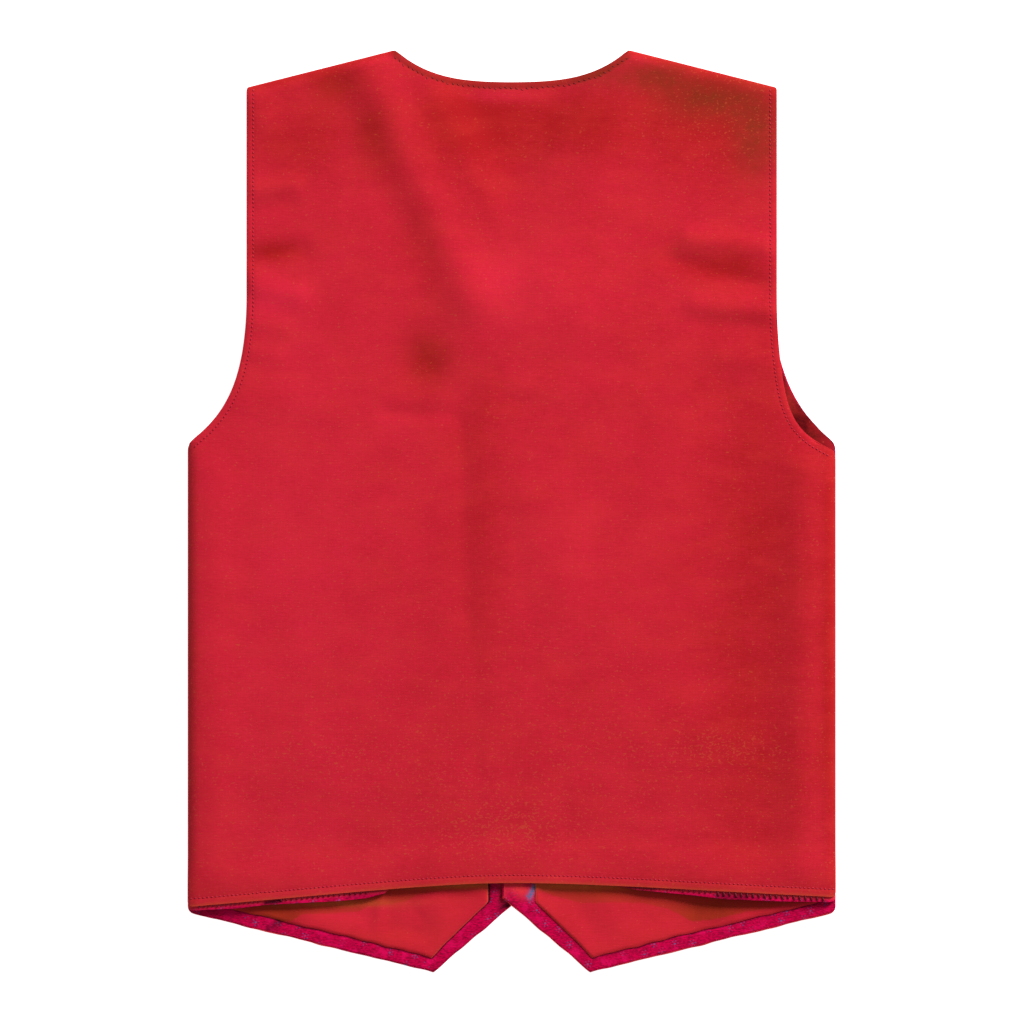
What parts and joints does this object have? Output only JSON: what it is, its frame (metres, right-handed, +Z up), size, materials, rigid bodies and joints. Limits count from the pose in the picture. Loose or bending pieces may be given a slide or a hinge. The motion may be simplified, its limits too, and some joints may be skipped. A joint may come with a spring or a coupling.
{
  "type": "vest",
  "caption": "Sleeveless folk waistcoat laid flat, face down: plain back with scooped neck and armholes over lined brocade fronts with pointed hems and shaped facings.",
  "frame": {"origin": "middle of the footprint, on the surface that the vest lies on", "axes": "+Z up, +Y from the hem towards the neck, +X towards the wearer's right side, which is at the picture's right"},
  "size_m": [0.5, 0.712, 0.0086],
  "materials": {
    "back_cloth": "plain red weave, softly matt",
    "lining_cloth": "plain red lining weave, softly matt",
    "front_brocade": "crimson brocade with small purple and blue motifs, low sheen",
    "facing_brocade": "crimson brocade strip with small purple and blue flecks, low sheen"
  },
  "bodies": {
    "root": {"back": "back_cloth", "back_hem_facing": "facing_brocade", "front_left": "front_brocade", "front_left_facing": "facing_brocade", "front_left_lining": "lining_cloth", "front_right": "front_brocade", "front_right_facing": "facing_brocade", "front_right_lining": "lining_cloth"}
  },
  "joints": []
}
